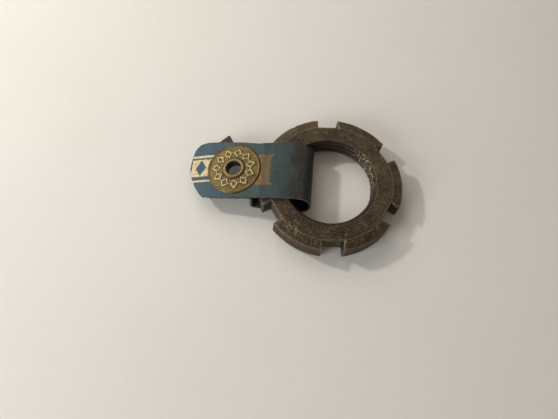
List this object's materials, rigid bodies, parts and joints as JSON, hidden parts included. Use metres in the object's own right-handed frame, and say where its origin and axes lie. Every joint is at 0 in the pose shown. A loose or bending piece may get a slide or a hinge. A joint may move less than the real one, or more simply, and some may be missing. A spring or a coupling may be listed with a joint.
{
  "type": "slotted ring nut with a looped tag",
  "caption": "Slotted round ring nut with an internal thread, and a folded cloth tape tag looped through it and closed by an embossed brass eyelet.",
  "frame": {"origin": "centre of the nut's bottom face, on the thread's axis", "axes": "+Z along the thread's axis, out of the crowned top face; the tag lies over the -X side and runs towards -X; +X points away from the tag"},
  "size_m": [0.0562, 0.0376, 0.0078],
  "materials": {
    "oxidised_steel": "dark brown oxide, worn",
    "tag_cloth": "coated cloth, worn",
    "aged_brass": "aged satin"
  },
  "bodies": {
    "nut": {"ring_nut": "oxidised_steel"},
    "loop": {"strap_loop": "tag_cloth"},
    "tag": {"strap_face_layer": "tag_cloth", "strap_back_layer": "tag_cloth", "face_disc": "aged_brass", "eyelet": "aged_brass", "back_washer": "aged_brass"}
  },
  "joints": [
    {"name": "tag_travel", "type": "hinge", "parent": "nut", "child": "loop", "pos_m": [0, 0, 0], "axis": [0, 0, 1], "continuous": true},
    {"name": "tag_flex", "type": "hinge", "parent": "loop", "child": "tag", "pos_m": [-0.01774, 0.00266, 0.00635], "axis": [0.0872, 0.9962, 0], "range_deg": [-5, 60]}
  ]
}
